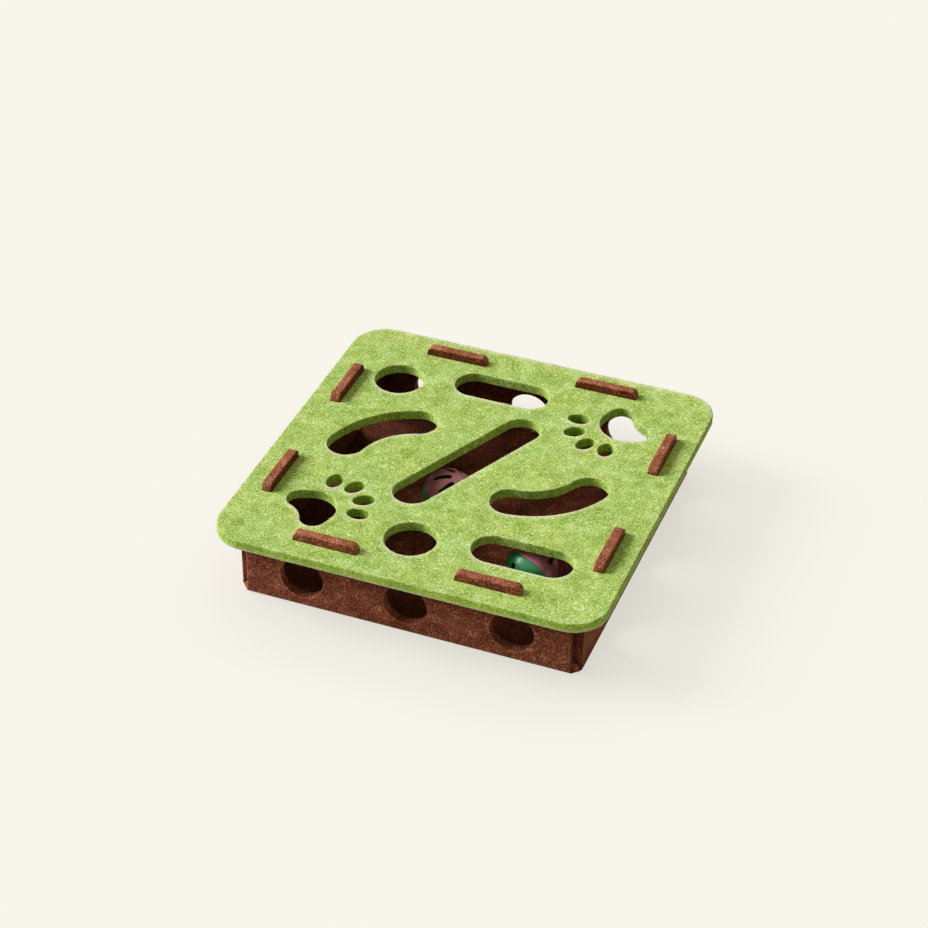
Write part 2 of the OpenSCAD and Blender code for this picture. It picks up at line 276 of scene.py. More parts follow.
LEAF_SHADES = (
    (0.180, 0.300, 0.026, 1), (0.405, 0.565, 0.112, 1), (0.560, 0.715, 0.220, 1), (0.850, 0.940, 0.520, 1),
)
EARTH_SHADES = (
    (0.080, 0.013, 0.006, 1), (0.235, 0.058, 0.026, 1), (0.385, 0.118, 0.064, 1), (0.800, 0.390, 0.262, 1),
)
leaf_felt = felt_material(
    "leaf_green_felt", LEAF_SHADES, dyes=((0.86, 1.0, 1.24, 1), (1.14, 1.0, 0.78, 1)),
    cut_and_shade_tint=(0.88, 0.98, 0.46, 1), painted_shade_tint=(0.70, 0.72, 0.60, 1),
    fray_and_highlight_colour=(0.80, 0.64, 0.50, 1), sheen=(0.80, 0.90, 0.55, 1),
)
earth_felt = felt_material(
    "earth_brown_felt", EARTH_SHADES, dyes=((0.90, 0.88, 0.86, 1), (1.10, 1.12, 1.14, 1)),
    cut_and_shade_tint=(0.58, 0.44, 0.38, 1), painted_shade_tint=(0.56, 0.46, 0.30, 1),
    fray_and_highlight_colour=(0.18, 0.075, 0.030, 1), sheen=(0.75, 0.45, 0.33, 1),
)
print("felts:", leaf_felt.name, "and", earth_felt.name)

# %% [markdown]
# ## Outlines
# Every cut in the felt is made of arcs and straight lines, so a few small functions can draw all of them.
# Points sit about a millimetre apart along an edge. That is fine enough for smooth rims at any view, and
# keeps each board well under its limit of triangles.

# %% Outline tools
STEP, LEAST_PARTS, DOUBLED, ALMOST_ROUND = 1.15, 3, 1e-4, 0.01


def arc(x, y, r, start, stop):
    """Points along an arc, from one angle in degrees to another."""
    parts = max(LEAST_PARTS, math.ceil(abs(math.radians(stop - start)) * r / STEP))
    angles = [math.radians(start + (stop - start) * k / parts) for k in range(parts + 1)]
    return [(x + r * math.cos(a), y + r * math.sin(a)) for a in angles]


def outline(points):
    """A closed outline: doubled points dropped, long stretches divided."""
    single = [p for k, p in enumerate(points) if math.dist(p, points[k - 1]) > DOUBLED]
    divided = []
    for k, (x, y) in enumerate(single):
        u, v = single[(k + 1) % len(single)]
        parts = max(1, round(math.dist((x, y), (u, v)) / STEP))
        divided += [(x + (u - x) * j / parts, y + (v - y) * j / parts) for j in range(parts)]
    return divided


def placed(points, at, angle=0.0):
    """An outline turned by an angle in degrees and moved to its place."""
    c, s = math.cos(math.radians(angle)), math.sin(math.radians(angle))
    return [(at[0] + c * x - s * y, at[1] + s * x + c * y) for x, y in points]


def rounded_rectangle(w, h, r):
    """A rectangle with round corners."""
    x, y = w / 2 - r, h / 2 - r
    return outline(
        arc(x, -y, r, -90, 0) + arc(x, y, r, 0, 90) + arc(-x, y, r, 90, 180) + arc(-x, -y, r, 180, 270)
    )


def stadium(length, width):
    """A straight slot with round ends along X."""
    x = (length - width) / 2
    return outline(arc(x, 0, width / 2, -90, 90) + arc(-x, 0, width / 2, 90, 270))


def round_hole(r):
    """A round hole, as a slot of almost no length."""
    return stadium(2 * r, 2 * r - ALMOST_ROUND)


LID_HOLE_R = 19.5
print("a round hole has", len(round_hole(LID_HOLE_R)), "points")

# %% [markdown]
# ## Paws and curves
# The lid's curved slots follow an arc, and its paw prints have an oval for each toe and a pad with one round
# front and two heels. Splines could trace these shapes, but their curves would wobble. Arcs that meet without
# a corner stay true, and each size can still be set by itself.

# %% Curved cut-outs


def curved_slot(r, width, sweep):
    """A slot along an arc, its middle at the origin and its bulge along +X."""
    half = sweep / 2
    ex, ey = r * math.cos(math.radians(half)), r * math.sin(math.radians(half))
    points = (
        arc(0, 0, r + width / 2, -half, half) + arc(ex, ey, width / 2, half, half + 180)
        + arc(0, 0, r - width / 2, half, -half) + arc(ex, -ey, width / 2, 180 - half, 360 - half)
    )
    return outline([(x - r, y) for x, y in points])


def toe(length, width, end_r):
    """An oval of two end arcs and two side arcs that meet smoothly."""
    c, spare = length / 2 - end_r, width / 2 - end_r
    d = (c * c - spare * spare) / (2 * spare)
    side_r, a = width / 2 + d, math.degrees(math.atan2(d, c))
    return outline(
        arc(0, -d, side_r, a, 180 - a) + arc(-c, 0, end_r, 180 - a, 180 + a)
        + arc(0, d, side_r, 180 + a, 360 - a) + arc(c, 0, end_r, -a, a)
    )


def pad(front_r, front_at, heel_r, heel_out, heel_back, hollow_back):
    """The pad of a paw print that points along +X, with a hollow between its heels."""
    span_x, span_y = front_at + heel_back, -heel_out
    tangent = math.acos((heel_r - front_r) / math.hypot(span_x, span_y))
    side = math.degrees(math.atan2(span_y, span_x) + tangent)
    reach = hollow_back - heel_back
    hollow_r = (heel_out**2 + reach**2 - heel_r**2) / (2 * (heel_r - reach))
    hollow_x = -hollow_back - hollow_r
    inward = math.degrees(math.atan2(-heel_out, hollow_x + heel_back)) % 360
    return outline(
        arc(front_at, 0, front_r, -side, side) + arc(-heel_back, heel_out, heel_r, side, inward)
        + arc(hollow_x, 0, hollow_r, inward - 180, 180 - inward)
        + arc(-heel_back, -heel_out, heel_r, -inward, -side)
    )


TOE_SIZES, PAD_SIZES = (17.0, 12.0, 4.6), (21.2, -7.4, 9.8, 13.0, 8.7, 15.8)
print("a toe has", len(toe(*TOE_SIZES)), "points, a pad", len(pad(*PAD_SIZES)))

# %% [markdown]
# ## Rims
# A felt board could be an extruded curve, but then its rims would be knife-sharp and its faces dead flat.
# Here each outline becomes a stack of rings: the first ring lies on the face a little inside the edge, the
# next ones round the rim, and the rest go down the cut side to the other face. Where two panels of a folded
# sheet meet, the outer rim takes half of the round of the fold, and the inner one is left almost sharp.

# %% Rims
RIM_BENDS = (0.0, 0.3, 0.62, 1.0)
OUTER_RINGS, SIDE_RINGS, INNER_RINGS = len(RIM_BENDS) + 1, 3, len(RIM_BENDS)
ALL_RINGS = OUTER_RINGS + SIDE_RINGS + INNER_RINGS
LAST_RING = ALL_RINGS - 1
WIDE_LAND, SMALL_LAND, WIDE_KINDS = 0.9, 0.2, ("rim", "cut", "toe")
FOLD_R, MITRE_R, SHARPEST_CORNER = 2.2, 0.1, 0.35


class Edge:
    """One outline of a board: its points on both faces and the shape of its rims."""

    def __init__(self, kind, outer, radius, inner=None, inner_radius=None, folds=None):
        self.kind = kind
        self.outer, self.inner = list(outer), list(inner or outer)
        self.radius = radius if isinstance(radius, list) else [radius] * len(outer)
        self.inner_radius = list(inner_radius or self.radius)
        self.folds = folds or [False] * len(outer)

    def reverse(self):
        """Turns the direction of the outline."""
        for part in (self.outer, self.inner, self.radius, self.inner_radius, self.folds):
            part.reverse()


def inward_steps(points):
    """At each point, the step that moves both neighbouring sides one unit into the felt."""
    steps = []
    for k, (x, y) in enumerate(points):
        (px, py), (qx, qy) = points[k - 1], points[(k + 1) % len(points)]
        a, b = Vector((py - y, x - px)).normalized(), Vector((y - qy, qx - x)).normalized()
        steps.append((a + b) / max(SHARPEST_CORNER, 1.0 + a.dot(b)))
    return steps


def bend(p, q, r, t):
    """A point on the smooth bend from p to r that q pulls towards itself."""
    return p * (1 - t) ** 2 + q * (2 * t * (1 - t)) + r * t**2


def fold_normal(edge, k):
    """The direction from a fold into its board, square to the fold also at its ends."""
    a, b = (k - 1, k) if edge.folds[k - 1] else (k, (k + 1) % len(edge.outer))
    (ax, ay), (bx, by) = edge.outer[a], edge.outer[b]
    return Vector((ay - by, bx - ax, 0.0)).normalized()


def ring_stack(edge, thick):
    """The rings of an edge, from the outer face to the inner one, as lists of (u, v, depth)."""
    columns = []
    land = WIDE_LAND if edge.kind in WIDE_KINDS else SMALL_LAND
    for k, steps in enumerate(zip(inward_steps(edge.outer), inward_steps(edge.inner))):
        o, i = Vector((*edge.outer[k], 0.0)), Vector((*edge.inner[k], thick))
        n, n_in = [step.to_3d() for step in steps]
        r, r_in = edge.radius[k], edge.inner_radius[k]
        across = (i - o).normalized()
        if edge.folds[k]:
            n = fold_normal(edge, k)
            half = FOLD_R * (1 - math.sqrt(0.5))
            turn = o + (n + Vector((0, 0, 1))) * half
            first = [bend(o + n * FOLD_R, o + n * (2 * half), turn, t) for t in RIM_BENDS]
            last = [i - across * MITRE_R + (across + n) * (MITRE_R * t) for t in RIM_BENDS]
        else:
            first = [bend(o + n * r, o, o + across * r, t) for t in RIM_BENDS]
            last = [bend(i - across * r_in, i, i + n_in * r_in, t) for t in RIM_BENDS]
        first.insert(0, first[0] + n * land)
        middle = [first[-1].lerp(last[0], (m + 1) / (SIDE_RINGS + 1)) for m in range(SIDE_RINGS)]
        columns.append(first + middle + last)
    return [list(ring) for ring in zip(*columns)]


print("each edge has", ALL_RINGS, "rings")

# %% [markdown]
# ## Faces
# Between the rims a board has a large face with holes. One big polygon would stay flat and shade badly, so a
# loose grid of points is laid on the face, clear of its rims, and a constrained triangulation ties the points
# and the rims together. Those points can then carry the slight unevenness of pressed felt.

# %% Face filling
FACE_GRID, ROW_HEIGHT, RIM_CLEAR = 3.4, 0.866, 0.62
INSIDE_ONLY, CLOSE, ON_GRID = 1, 1e-6, -1


def inside(x, y, points):
    """Whether a place lies in an outline."""
    odd = False
    for k, (ax, ay) in enumerate(points):
        bx, by = points[k - 1]
        if (ay > y) != (by > y) and x < (bx - ax) * (y - ay) / (by - ay) + ax:
            odd = not odd
    return odd


def face_points(outlines, spacing):
    """Grid points that lie on a face, clear of all its outlines."""
    flat = [p for points in outlines for p in points]
    near = kdtree.KDTree(len(flat))
    for k, (x, y) in enumerate(flat):
        near.insert((x, y, 0), k)
    near.balance()
    boxes = [(*np.min(points, axis=0), *np.max(points, axis=0)) for points in outlines]
    left, low, right, high = boxes[0]
    grid = []
    for row in range(int((high - low) / (spacing * ROW_HEIGHT)) + 1):
        y = low + row * spacing * ROW_HEIGHT
        for column in range(int((right - left) / spacing) + 1):
            x = left + (column + 0.5 * (row % 2)) * spacing
            if near.find((x, y, 0))[2] >= RIM_CLEAR * spacing:
                about = [o for o, b in zip(outlines, boxes) if b[0] < x < b[2] and b[1] < y < b[3]]
                if sum(inside(x, y, points) for points in about) == 1:
                    grid.append((x, y))
    return grid


def fill_face(rings, spacing):
    """Triangles over a face, as indices into the ring points followed by the new grid points.

    The triangulation also fills the holes, so triangles that lie across one are left out.
    """
    outlines = [[(p.x, p.y) for p in ring] for ring in rings]
    borders, owner, kept = [], [], []
    for number, ring in enumerate(rings):
        start = len(borders)
        borders += [(start + k, start + (k + 1) % len(ring)) for k in range(len(ring))]
        owner += [number] * len(ring)
    grid = face_points(outlines, spacing)
    owner += [ON_GRID] * len(grid)
    flat = [Vector(p) for points in (*outlines, grid) for p in points]
    _, _, triangles, origin, _, _ = delaunay_2d_cdt(flat, borders, [], INSIDE_ONLY, CLOSE)
    for triangle in triangles:
        corners = [origin[k][0] for k in triangle]
        loop = owner[corners[0]]
        if loop != ON_GRID and all(owner[k] == loop for k in corners):
            x, y = sum((flat[k] for k in corners), Vector((0, 0))) / 3
            if inside(x, y, outlines[loop]) != (loop == 0):
                continue
        kept.append(corners)
    return grid, kept


sample = [Vector((*p, 0.0)) for p in round_hole(LID_HOLE_R)]
print("a disc of", 2 * LID_HOLE_R, "mm is filled with", len(fill_face([sample], FACE_GRID)[1]), "triangles")

# %% [markdown]
# ## Boards
# A board is the stacks of rings of all its edges with a filled face at either end. Its faces wave a little,
# as pressed felt does. The waves only ever take felt away, so a board never grows past its measured size. At
# each point the mesh also keeps how deep its colour is and how thickly loose fibres grow.

# %% Board maker
FACE_WAVES = ((0.16, 19.0), (0.10, 6.0))


def part_way(value, start, stop):
    """How far a value is on its way from start to stop, between 0 and 1."""
    return min(1.0, max(0.0, (value - start) / (stop - start)))


def on_side(level):
    """Whether a ring lies on the cut side, between the rounded rims."""
    return OUTER_RINGS - 1 <= level <= OUTER_RINGS + SIDE_RINGS


def signed_area(points):
    """Area of an outline, positive where it runs against the clock."""
    return sum(p[0] * points[k - 1][1] - points[k - 1][0] * p[1] for k, p in enumerate(points)) / -2


def bands(rows, width, start=0, closed=True):
    """Faces between neighbouring rows of points, each row width points long."""
    faces = []
    for a in range(start, start + (rows - 1) * width, width):
        for k in range(width if closed else width - 1):
            j = (k + 1) % width
            faces.append((a + k, a + j, a + width + j, a + width + k))
    return faces


def set_mark(mesh, name, values):
    """Keeps a number for each point of a mesh under a name."""
    mesh.attributes.new(name, "FLOAT", "POINT").data.foreach_set("value", [float(v) for v in values])


def mend(mesh, *changes):
    """Runs mesh tools on a mesh, turns its faces outwards and counts its open edges."""
    made = bmesh.new()
    made.from_mesh(mesh)
    for change in changes:
        change(made)
    bmesh.ops.recalc_face_normals(made, faces=made.faces)
    made.to_mesh(mesh)
    open_edges = sum(1 for e in made.edges if not e.is_manifold)
    made.free()
    return open_edges


def waves(x, y, z):
    """Smooth unevenness between nothing and the sum of the waves' depths."""
    depth = 0.0
    for most, length in FACE_WAVES:
        depth += most * (0.5 + 0.5 * noise.noise(Vector((x / length, y / length, z / length))))
    return depth


def finish_board(name, points, faces, marks, place, material, fuzz, tones):
    """Adds the unevenness, the marks for the material and the fibres, and the smooth shading."""
    solid = []
    for p, (_, level, _) in zip(points, marks):
        outer_share = part_way(level, OUTER_RINGS - 1, 1)
        inner_share = part_way(level, ALL_RINGS - INNER_RINGS, LAST_RING)
        sink = waves(*place(*p)) * (outer_share - inner_share)
        solid.append(place(p.x, p.y, p.z + sink))
    mesh = new_mesh(name, solid, faces)
    toned = zip(*(tones(p, *mark) for p, mark in zip(points, marks)))
    grown = [fuzz(p, kind, level) for p, (kind, level, _) in zip(points, marks)]
    for mark, values in zip(("cut", "inner", "fray_and_highlight", "fuzz"), (*toned, grown)):
        set_mark(mesh, mark, values)
    open_edges = mend(mesh)
    mesh.shade_smooth()
    mesh.materials.append(material)
    print(f"{name}: {len(mesh.polygons)} faces, open edges {open_edges}")
    return show(name, mesh)


def felt_board(name, edges, thick, place, material, fuzz, tones, inner_grid=FACE_GRID):
    """A felt board as a closed mesh. place turns (u, v, depth) into millimetres in the frame."""
    points, faces, marks, starts = [], [], [], []
    for k, edge in enumerate(edges):
        if (signed_area(edge.outer) > 0) != (k == 0):
            edge.reverse()
    stacks = [ring_stack(edge, thick) for edge in edges]
    for edge, stack in zip(edges, stacks):
        starts.append(len(points))
        faces += bands(ALL_RINGS, len(edge.outer), len(points))
        leans = [-n.y for n in inward_steps(edge.outer)]
        for level, ring in enumerate(stack):
            points += ring
            marks += [(edge.kind, level, lean) for lean in leans]
    for level, depth, spacing in ((0, 0.0, FACE_GRID), (LAST_RING, thick, inner_grid)):
        grid, triangles = fill_face([stack[level] for stack in stacks], spacing)
        index = []
        for start, edge in zip(starts, edges):
            count = len(edge.outer)
            index += range(start + level * count, start + (level + 1) * count)
        index += range(len(points), len(points) + len(grid))
        points += [Vector((x, y, depth)) for x, y in grid]
        marks += [("face", level, 0.0)] * len(grid)
        faces += [tuple(index[k] for k in triangle) for triangle in triangles]
    return finish_board(name, points, faces, marks, place, material, fuzz, tones)


print("waves of up to", sum(most for most, _ in FACE_WAVES), "mm")

# %% [markdown]
# ## Cut-outs of the lid
# The lid is a square of green felt with round corners. It has two round holes, two straight slots, one long
# slanting slot, two curved slots and two paw prints, and eight narrow slots near its sides for the tabs of
# the tray. On the real lid a press punches them all at once. Here each is one outline, turned and moved.

# %% Lid sizes
LID_W, LID_R, LID_T = 300.0, 27.0, 8.0
TRAY_T, OVERHANG = 7.5, 16.7
WALL_OUT = LID_W / 2 - OVERHANG
WALL_IN = WALL_OUT - TRAY_T
TAB_L, TAB_AT, TAB_CLEAR = 50.0, 62.5, 0.3
TAB_MIDDLE, SLOT_CORNER_R = WALL_IN + TRAY_T / 2, 0.8
TOE_STEP, MIDDLE_TOE, TOE_AT = 29.5, 1.5, (32.0, 34.5, 34.5, 32.0)
STRAIGHT_SLOT, SLANTING_SLOT, CURVE = (77.0, 31.0), (143.0, 30.0), (60.0, 30.0, 61.0)


def paw_print(at, angle):
    """The five holes of a paw print."""
    holes = [pad(*PAD_SIZES)]
    for k, distance in enumerate(TOE_AT):
        holes.append(placed(placed(toe(*TOE_SIZES), (distance, 0)), (0, 0), (k - MIDDLE_TOE) * TOE_STEP))
    return [placed(hole, at, angle) for hole in holes]


cutouts = [
    placed(round_hole(LID_HOLE_R), (-94.5, 85.0)), placed(round_hole(LID_HOLE_R), (-8.5, -101.0)),
    placed(stadium(*STRAIGHT_SLOT), (-13.5, 99.5)), placed(stadium(*STRAIGHT_SLOT), (73.5, -90.5)),
    placed(stadium(*SLANTING_SLOT), (-5.0, 3.5), 65.0),
    placed(curved_slot(*CURVE), (-84.5, 18.5), 138.0), placed(curved_slot(*CURVE), (72.0, -22.0), -54.5),
    *paw_print((-87.5, -89.0), 46.0), *paw_print((87.0, 86.5), 226.0),
]
tab_slot = rounded_rectangle(TAB_L + 2 * TAB_CLEAR, TRAY_T + 2 * TAB_CLEAR, SLOT_CORNER_R)
tab_slots = [
    placed(placed(tab_slot, (side * TAB_AT, -TAB_MIDDLE)), (0, 0), 90 * quarter)
    for quarter in range(4) for side in (-1, 1)
]
print(len(cutouts), "cut-outs and", len(tab_slots), "tab slots")

# %% [markdown]
# ## Lid
# A punch leaves a felt edge deeper in colour and a little frayed. The top rims that look to the back also get
# a painted highlight. The toes are so narrow that their sides stay in shade, so they get painted shade as
# deep as the underside's, which is painted darker too. The rims of the tab slots are kept tight and without
# fibres, so that the lid can be lifted off cleanly.

# %% Lid
LID_RIM_R, RIM_R, SLOT_RIM_R = 1.0, 0.8, 0.5
SLOT_KEEP_OFF, UNDERSIDE, RIM_FUZZ, SIDE_FUZZ = 6.5, 0.1, 2.2, 1.2
# The toes' sides take the full cut tint, and a deep tone below, as painted shade.
CUT_DEPTH, TOE_AREA, TOE_SHADE = {"rim": 1.0, "cut": 0.5, "toe": 1.0}, 250.0, 0.9
# The first number frays all top rims; the second is a painted highlight on those that look back.
TOP_FRAY, NEAR_RIM_HIGHLIGHT, TOP_RINGS = 0.12, 0.88, (0.5, 1.0, 1.0)
LOW_FRAY = {"rim": (0.25, 0.6, 0.8, 0.8), "cut": (0.0, 0.15, 0.35, 0.4), "toe": ()}


def lid_tones(_, kind, level, lean):
    """How cut and frayed the lid is, with its painted shade and painted highlight. Rims looking back get a
    highlight.
    """
    if kind not in CUT_DEPTH:
        # The underside gets painted shade.
        return 0.0, level == LAST_RING, 0.0
    low, pale_edge = level - OUTER_RINGS - SIDE_RINGS + 1, 0.0
    if level < len(TOP_RINGS):
        pale_edge = TOP_RINGS[level] * (TOP_FRAY + NEAR_RIM_HIGHLIGHT * max(0.0, lean))
    elif 0 <= low < len(LOW_FRAY[kind]):
        pale_edge = LOW_FRAY[kind][low]
    # The sides of the toes get painted shade.
    shaded_side = TOE_SHADE * on_side(level) * (kind == "toe")
    return CUT_DEPTH[kind] * on_side(level), max(shaded_side, level == LAST_RING), pale_edge


def lid_fuzz(p, kind, level):
    """How thickly fibres grow: more at rims, none by the tab slots or underneath."""
    along, across = sorted((abs(p.x), abs(p.y)))
    by_slot = abs(along - TAB_AT) < TAB_L / 2 + SLOT_KEEP_OFF
    by_slot = by_slot and abs(across - TAB_MIDDLE) < TRAY_T / 2 + SLOT_KEEP_OFF
    if kind == "tab" or p.z > LID_T - UNDERSIDE or by_slot:
        return 0.0
    return 1.0 if kind == "face" else RIM_FUZZ if level < OUTER_RINGS else SIDE_FUZZ


lid_edges = [Edge("rim", rounded_rectangle(LID_W, LID_W, LID_R), LID_RIM_R)]
lid_edges += [Edge("toe" if abs(signed_area(o)) < TOE_AREA else "cut", o, RIM_R) for o in cutouts]
lid_edges += [Edge("tab", o, SLOT_RIM_R) for o in tab_slots]
lid = felt_board(
    "lid_felt", lid_edges, LID_T, lambda u, v, d: (u, v, LID_TOP - d), leaf_felt, lid_fuzz, lid_tones,
)
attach(lid, "lid")
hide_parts("lid_panel")

# %% [markdown]
# ## Shape of a wall
# The tray is one cross-shaped sheet: a floor panel and four walls that are folded up along creases. Each
# wall has three round holes and two tabs. A fold in felt this thick is round outside and meets at a mitre
# inside, so the wall and the floor each take half of that round. The wall is drawn flat, as it is cut.

# %% Wall shape
CORNER_GAP, END_RIM_R = -0.15, 0.1
WALL_HALF, WALL_H = WALL_IN - CORNER_GAP, LID_TOP - LID_T
TAB_TOP, TAB_R, TAB_RIM_R, SLOT_REACH = LID_TOP + 6.0, 4.5, 0.7, 2.0
WALL_HOLE_R, WALL_HOLE_PITCH, WALL_HOLE_Z = 17.0, 81.5, 25.0
TIGHT_RIM_R, RIM_GROWTH = 0.25, 0.4
ON_LINE, FOLD_CLEAR = 0.01, 0.5


def at_end(u, width):
    """Whether a place on a wall lies within a width of its ends."""
    return abs(u) > WALL_HALF - width


def wall_outline():
    """The outline of a wall with its two tabs, from the left end of the crease against the clock."""
    top = []
    for middle in (TAB_AT, -TAB_AT):
        a, b = middle + TAB_L / 2, middle - TAB_L / 2
        top += [(a, WALL_H)] + arc(a - TAB_R, TAB_TOP - TAB_R, TAB_R, 0, 90)
        top += arc(b + TAB_R, TAB_TOP - TAB_R, TAB_R, 90, 180) + [(b, WALL_H)]
    whole = outline([(-WALL_HALF, 0), (WALL_HALF, 0), (WALL_HALF, WALL_H)] + top + [(-WALL_HALF, WALL_H)])
    return [(u, v) for u, v in whole if v < ON_LINE or v > FOLD_R + FOLD_CLEAR]


def wall_edges():
    """The outline and the three holes of one wall. Inside, its fold's mitre starts one thickness up."""
    shape, inner, rims, inner_rims = wall_outline(), [], [], []
    lift = (WALL_H - TRAY_T) / WALL_H
    for u, v in shape:
        inner.append((u, TRAY_T + v * lift) if v < ON_LINE or at_end(u, ON_LINE) else (u, v))
        worn = part_way(v, LID_TOP - SLOT_REACH, LID_TOP + SLOT_REACH)
        rims.append(RIM_R + (TAB_RIM_R - RIM_R) * worn)
        inner_rims.append(END_RIM_R if at_end(u, ON_LINE) else rims[-1])
    edges = [Edge("wall", shape, rims, inner, inner_rims, [v < ON_LINE for _, v in shape])]
    for k in (-1, 0, 1):
        hole = placed(round_hole(WALL_HOLE_R), (k * WALL_HOLE_PITCH, WALL_HOLE_Z))
        above = [v - WALL_HOLE_Z + WALL_HOLE_R for _, v in hole]
        tight = [min(RIM_R, TIGHT_RIM_R + RIM_GROWTH * height) for height in above]
        edges.append(Edge("hole", hole, RIM_R, inner_radius=tight))
    return edges


print("a wall has", len(wall_edges()), "edges and", len(wall_outline()), "points round it")

# %% [markdown]
# ## Walls
# The four walls are one shape, turned by quarter turns. Their inner faces and the strip right under the lid
# get painted shade, the ends get painted shade on their cut sides and a painted highlight on their edges, and
# the tops of the tabs are painted paler as a highlight. The rims of the holes are paler. Loose fibres grow on
# the outer faces alone, clear of the lid and of the floor, so that nothing rubs when the lid comes off.

# %% Walls
# The first two numbers set a painted highlight on the tops of the tabs.
TAB_TOP_HIGHLIGHT, PALE_TOP_ABOVE, HOLE_CUT, HOLE_FUZZ = 0.6, LID_TOP + 1.0, 0.15, 1.6
# The rings where the wall ends get a painted highlight and the holes' rims are paler.
PALE_RIM_RINGS = (1, 2)
SHADE_FROM, SHADE_TO = 31.0, 39.5
LID_KEEP_OFF, FLOOR_KEEP_OFF, END_WIDTH = 7.5, 1.5, 1.0
WALLS = ("front_wall", "right_wall", "back_wall", "left_wall")
QUARTER_TURNS = ((1, 0), (0, 1), (-1, 0), (0, -1))


def turned(u, v, quarter):
    """A place turned by quarter turns about the middle of the box."""
    c, s = QUARTER_TURNS[quarter]
    return c * u - s * v, s * u + c * v


def wall_fuzz(p, kind, _):
    """Fibres grow on the outer face of a wall, thicker round its holes, none by the lid or the floor."""
    on_face = p.z <= TRAY_T / 2 and FLOOR_KEEP_OFF <= p.y <= WALL_H - LID_KEEP_OFF
    if at_end(p.x, END_WIDTH) or not on_face:
        return 0.0
    return 1.0 if kind == "face" else HOLE_FUZZ


def wall_tones(p, kind, level, _):
    """How cut and frayed a wall is, with its painted shade and painted highlight."""
    # The ends, in the corners' shade, get painted shade on their cut sides and a painted highlight on their
    # rims.
    end = kind == "wall" and at_end(p.x, END_WIDTH)
    cut = on_side(level) * (1.0 if end else HOLE_CUT if kind == "hole" else 0.0)
    # Painted shade of the lid on the strip under it; the inner face is painted shade throughout.
    shade = part_way(p.y, SHADE_FROM, SHADE_TO) * (p.y < LID_TOP)
    pale_edge = (end or kind == "hole") and level in PALE_RIM_RINGS
    # A painted highlight on the tops of the tabs.
    if kind == "wall" and p.y > PALE_TOP_ABOVE:
        pale_edge = TAB_TOP_HIGHLIGHT * (PALE_RIM_RINGS[-1] < level < LAST_RING - 1)
    return cut, 1.0 if level == LAST_RING else shade, pale_edge


walls = []
for quarter, node in enumerate(WALLS):
    wall = felt_board(
        f"{node}_felt", wall_edges(), TRAY_T, lambda u, v, d: (*turned(u, d - WALL_OUT, quarter), v),
        earth_felt, wall_fuzz, wall_tones,
    )
    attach(wall, "tray")
    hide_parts(node)
    walls.append(wall)

# %% [markdown]
# ## Floor panel
# The floor panel lies between the four creases and is narrower on top, where the mitres close. A plain square
# would leave a notch at each corner of the tray, so small slanting steps join its sides there. Its upper
# face, inside the box, gets painted shade, deepest towards the walls and lighter in the middle.

# %% Tray floor panel
CORNER_CUT, CORNER_PARTS = 1.0, 8
BASE_RIM_R, BASE_GRID = 0.6, 4.5
BASE_SHADE_START, BASE_SHADE_FULL = 50.0, 85.0


def base_tones(p, _kind, level, _lean):
    """Painted shade on the floor panel's upper face: deepest towards the walls, lighter in the middle."""
    # Painted shade grows from the middle towards the walls.
    kept = part_way(max(abs(p.x), abs(p.y)), BASE_SHADE_START, BASE_SHADE_FULL)
    return kept * (level == LAST_RING), level == LAST_RING, 0.0


under, over, folds = [], [], []
sides, notch = round(2 * WALL_HALF / STEP), WALL_OUT - WALL_HALF
for quarter in range(4):
    for k in range(sides + 1):
        t = 2 * k / sides - 1
        under.append(turned(t * WALL_HALF, -WALL_OUT, quarter))
        over.append(turned(t * (WALL_IN - CORNER_CUT), -WALL_IN, quarter))
        folds.append(True)
    for k in range(1, CORNER_PARTS):
        t = k / CORNER_PARTS
        under.append(turned(WALL_HALF + t * notch, t * notch - WALL_OUT, quarter))
        over.append(turned(WALL_IN - CORNER_CUT * (1 - t), CORNER_CUT * t - WALL_IN, quarter))
        folds.append(False)
base = felt_board(
    "base_felt", [Edge("fold", under, BASE_RIM_R, over, folds=folds)], TRAY_T, lambda u, v, d: (u, v, d),
    earth_felt, lambda *_: 0.0, base_tones, inner_grid=BASE_GRID,
)
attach(base, "tray")
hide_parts("base_panel")

# %% [markdown]
# ## Loose fibres
# Felt is fuzzy: short ends and loops of fibre stand out from it and soften its outline. There are thousands,
# so Geometry Nodes scatter them. One small arched strand is copied to random points, laid along the surface
# with its ends sunk in the felt, and turned and sized at random with a fixed seed. Each strand keeps its own
# shade as an attribute.

# %% Fibre tree
STRAND = {
    "Start": (-1.7 * MM, 0.0, -0.14 * MM), "Middle": (0.1 * MM, 0.9 * MM, 0.72 * MM),
    "End": (1.5 * MM, -0.3 * MM, -0.14 * MM), "Resolution": 4,
}
STRAND_SIDES, STRAND_SIZES = 3, (0.55, 1.25)
LEAST_TURN, MOST_TURN = (-0.10, -0.10, 0.0), (0.10, 0.10, 2 * math.pi)
# A random node has sockets of one name for each kind of value: these are the plain numbers' places.
RANDOM_MIN, RANDOM_MAX, RANDOM_OUT = 2, 3, 1


def node_group(name, inputs):
    """A geometry tree with named inputs, and the sockets that they come from."""
    tree = bpy.data.node_groups.new(name, "GeometryNodeTree")
    for label, kind in {"Geometry": "Geometry", **inputs}.items():
        tree.interface.new_socket(label, in_out="INPUT", socket_type="NodeSocket" + kind)
    tree.interface.new_socket("Geometry", in_out="OUTPUT", socket_type="NodeSocketGeometry")
    return tree, tree.nodes.new("NodeGroupInput").outputs


def end_tree(tree, geometry, material):
    """Gives a tree's geometry its material and hands it out."""
    painted = add_node(tree, "GeometryNodeSetMaterial", {"Geometry": geometry, "Material": material})
    set_inputs(tree.nodes.new("NodeGroupOutput"), {"Geometry": painted})


def random_number(tree, seed, low, high):
    """A random number for each point."""
    inputs = {RANDOM_MIN: low, RANDOM_MAX: high, "Seed": seed}
    return add_node(tree, "FunctionNodeRandomValue", inputs, RANDOM_OUT, data_type="FLOAT")


